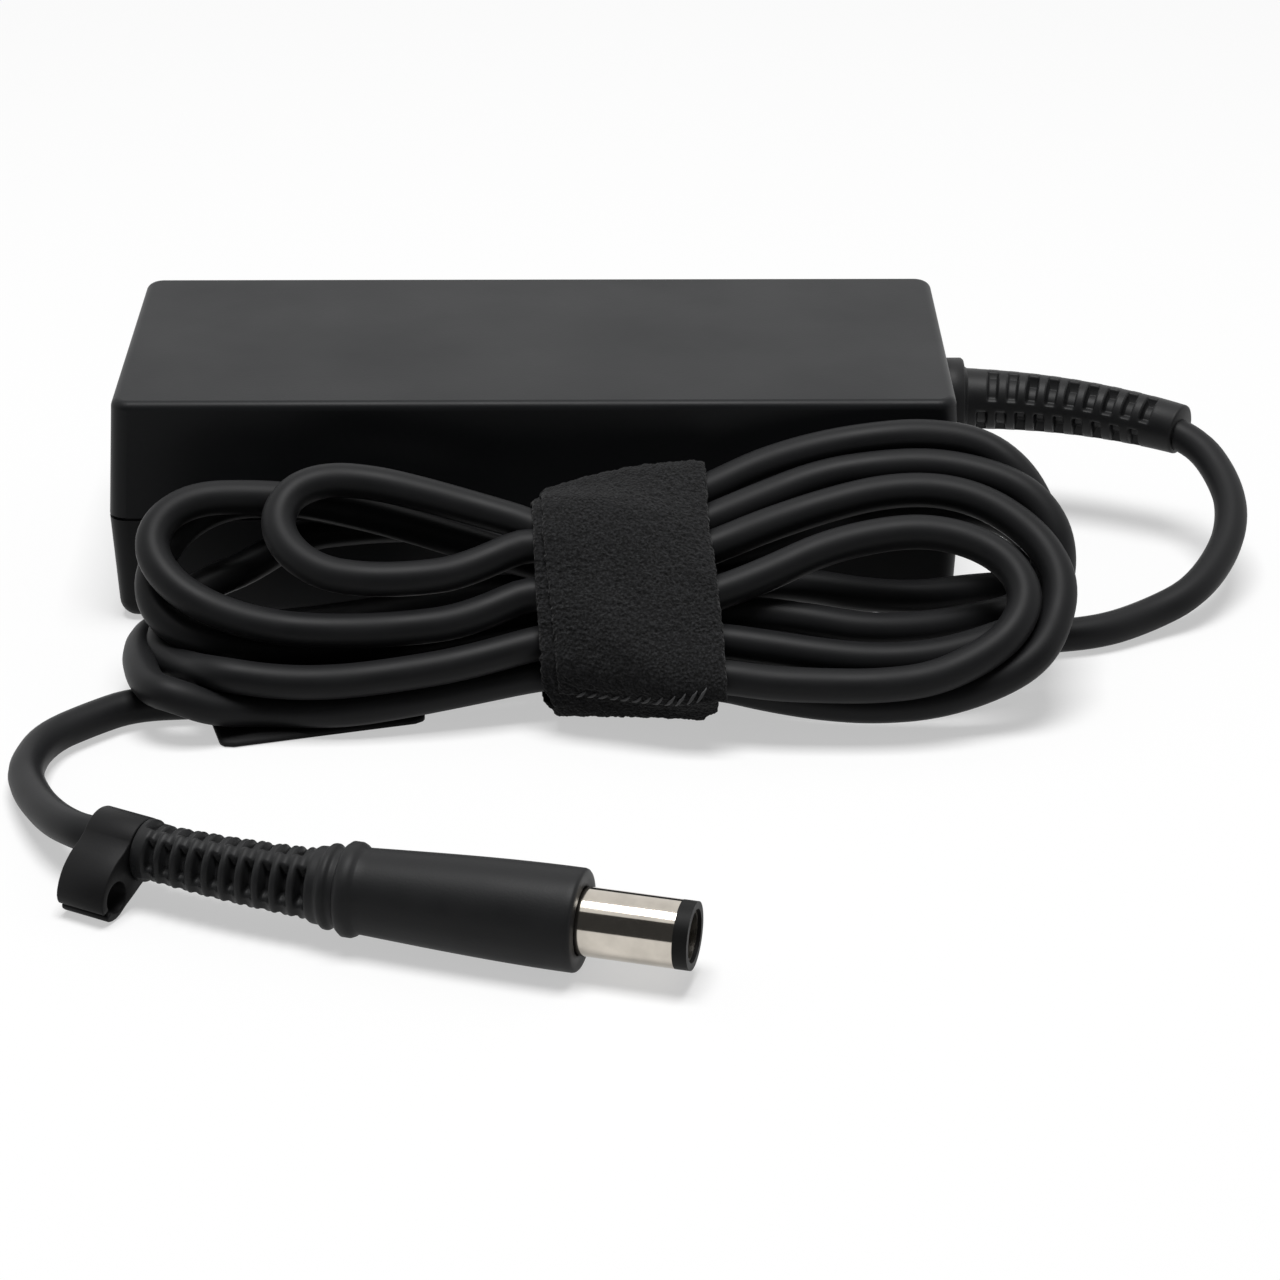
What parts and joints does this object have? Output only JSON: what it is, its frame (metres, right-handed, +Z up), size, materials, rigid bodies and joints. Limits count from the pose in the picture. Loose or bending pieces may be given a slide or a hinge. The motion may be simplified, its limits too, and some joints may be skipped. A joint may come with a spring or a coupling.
{
  "type": "laptop power adapter",
  "caption": "Rectangular moulded power adapter with a mains inlet, a bend relief, a low voltage cord tied in a hank and a round barrel plug with a cord clip.",
  "frame": {"origin": "centre of the moulded block's underside, on the surface that it rests on", "axes": "+X along the block towards the output cord, +Y away from the tied cord, +Z up"},
  "size_m": [0.1564, 0.1387, 0.0299],
  "materials": {
    "case_top": "fine grained satin",
    "case_bottom": "fine grained satin",
    "inlet": "smooth",
    "contacts": "nickel plated",
    "board": "paper laminate",
    "fuse": "moulded",
    "thermistor": "dipped",
    "varistor": "dipped",
    "film_capacitor": "moulded",
    "bridge": "moulded",
    "bobbin": "moulded",
    "ferrite": "sintered",
    "copper": "enamelled wire",
    "capacitor_sleeve": "shrunk sleeve",
    "heatsink": "sheet",
    "package": "moulded",
    "spring_steel": "sheet",
    "tape": "taped",
    "y_capacitor": "dipped",
    "pad": "silicone",
    "film": "polyester sheet",
    "wire": "insulated",
    "relief": "moulded",
    "cord": "satin jacket",
    "strap": "looped pile",
    "plug": "moulded",
    "clip": "moulded",
    "plated": "nickel plated"
  },
  "bodies": {
    "root": {"top_cover": "case_top", "bottom_cover": "case_bottom", "inlet_housing": "inlet", "inlet_contacts": "contacts", "circuit_board": "board", "fuse": "fuse", "thermistor": "thermistor", "varistor": "varistor", "auxiliary_capacitor": "capacitor_sleeve", "x_capacitor": "film_capacitor", "bridge_rectifier": "bridge", "choke_base": "bobbin", "choke_core": "ferrite", "choke_windings": "copper", "bulk_capacitor": "capacitor_sleeve", "primary_heatsink": "heatsink", "primary_transistor": "package", "secondary_heatsink": "heatsink", "output_rectifier": "package", "heatsink_clips": "spring_steel", "transformer_core": "ferrite", "transformer_bobbin": "bobbin", "transformer_winding": "tape", "output_capacitors": "capacitor_sleeve", "output_choke": "ferrite", "y_capacitor": "y_capacitor", "optocoupler": "package", "control_chip": "package", "thermal_pads": "pad", "top_heat_spreader": "heatsink", "bottom_heat_spreader": "heatsink", "insulation_film": "film", "output_wires": "wire", "case_strain_relief": "relief", "dc_cord_lead": "cord", "dc_cord_hank": "cord", "dc_cord_tail": "cord", "cord_strap": "strap", "strap_tail": "strap", "plug_handle": "plug", "cord_clip": "clip", "plug_barrel": "plated", "plug_tip_insulator": "plug", "plug_inner_contact": "plated", "plug_centre_pin": "plated"}
  },
  "joints": []
}
